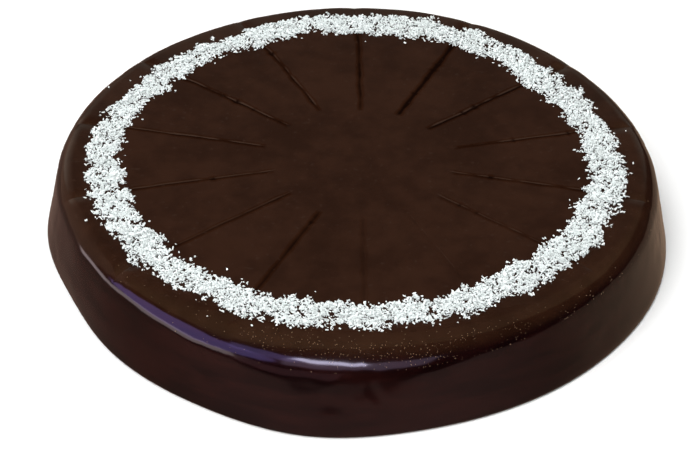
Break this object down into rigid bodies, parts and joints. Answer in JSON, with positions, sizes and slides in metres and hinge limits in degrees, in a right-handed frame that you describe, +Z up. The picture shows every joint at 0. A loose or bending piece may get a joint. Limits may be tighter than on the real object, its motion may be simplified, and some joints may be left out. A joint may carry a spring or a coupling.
{
  "type": "chocolate torte",
  "caption": "Low round chocolate torte under a dark poured glaze, its top scored into portions and ringed with desiccated coconut",
  "frame": {"origin": "on the flat base, under the middle of the outline", "axes": "+Z up through the top, -Y towards the front of the picture, +X to its right"},
  "size_m": [0.2806, 0.2838, 0.0398],
  "materials": {
    "chocolate_glaze": "satin on the top, glossy on the shoulder and wall",
    "coconut": "matte, slightly translucent flakes"
  },
  "bodies": {
    "root": {"torte": "chocolate_glaze", "coconut_ring": "coconut"}
  },
  "joints": []
}
